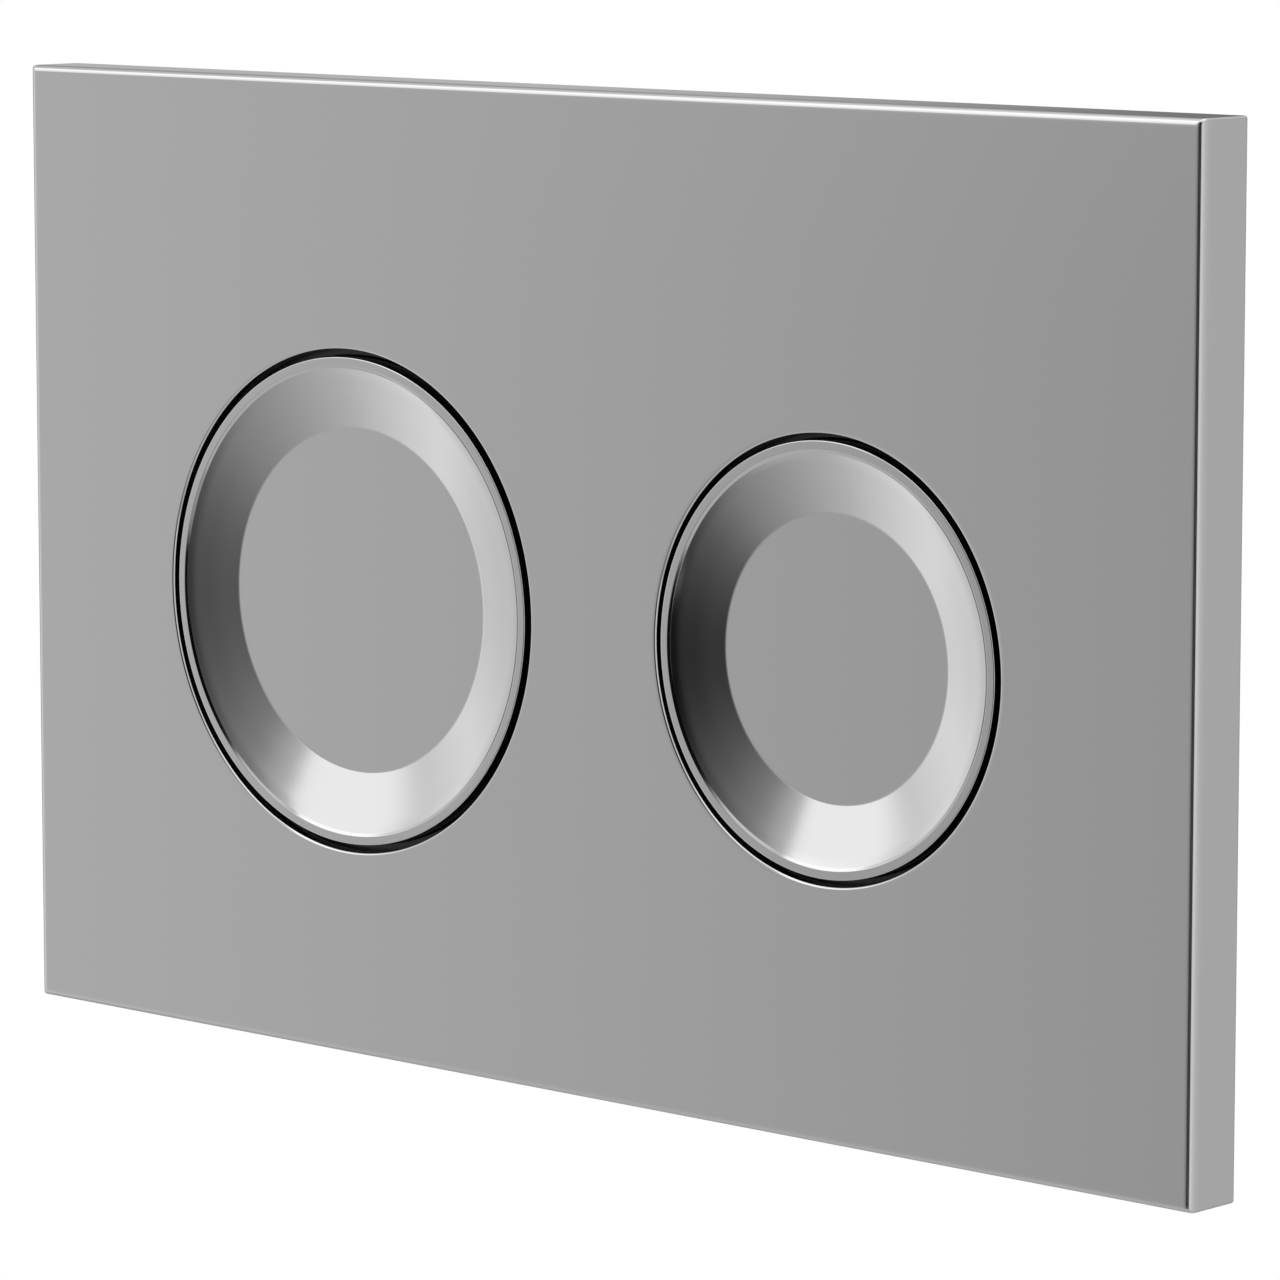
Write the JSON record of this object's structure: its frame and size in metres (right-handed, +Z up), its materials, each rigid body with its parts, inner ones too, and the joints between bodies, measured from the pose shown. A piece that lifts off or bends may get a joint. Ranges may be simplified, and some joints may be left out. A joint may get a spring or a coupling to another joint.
{
  "type": "flush button plate",
  "caption": "Rectangular dual-flush actuator plate with a larger and a smaller round dished push button, sprung plungers, push rods and a wall mounting frame.",
  "frame": {"origin": "middle of the plate's outline on the wall plane, in the middle of the four frame screws", "axes": "+X to the right seen from the front, +Y into the wall, +Z up"},
  "size_m": [0.25, 0.0745, 0.16],
  "materials": {
    "satin_chrome_plated": "satin",
    "black_acetal": "satin",
    "white_acetal": "satin",
    "grey_acetal": "satin",
    "black_moulding": "matte",
    "grey_moulding": "matte",
    "soft_rubber": "matte",
    "spring_steel": "polished",
    "zinc_steel": "satin"
  },
  "bodies": {
    "plate": {"face_plate": "satin_chrome_plated", "button_carrier": "black_moulding", "carrier_screws": "zinc_steel", "mounting_frame": "grey_moulding", "frame_screws": "zinc_steel", "frame_washers": "zinc_steel", "plate_clips": "spring_steel", "full_flush_spring": "spring_steel", "half_flush_spring": "spring_steel"},
    "full_flush": {"full_flush_button": "satin_chrome_plated", "full_flush_plunger": "black_acetal", "full_flush_stop_ring": "soft_rubber", "full_flush_push_rod": "white_acetal", "full_flush_lock_nut": "grey_acetal", "full_flush_rod_tip": "soft_rubber"},
    "half_flush": {"half_flush_button": "satin_chrome_plated", "half_flush_plunger": "black_acetal", "half_flush_stop_ring": "soft_rubber", "half_flush_push_rod": "white_acetal", "half_flush_lock_nut": "grey_acetal", "half_flush_rod_tip": "soft_rubber"}
  },
  "joints": [
    {"name": "full_flush_press", "type": "slide", "parent": "plate", "child": "full_flush", "axis": [0, 1, 0], "range_m": [0, 0.006], "stiffness_N_per_m": 700, "springref_m": -0.012, "deforming": ["full_flush_spring"]},
    {"name": "half_flush_press", "type": "slide", "parent": "plate", "child": "half_flush", "axis": [0, 1, 0], "range_m": [0, 0.006], "stiffness_N_per_m": 700, "springref_m": -0.012, "deforming": ["half_flush_spring"]}
  ]
}
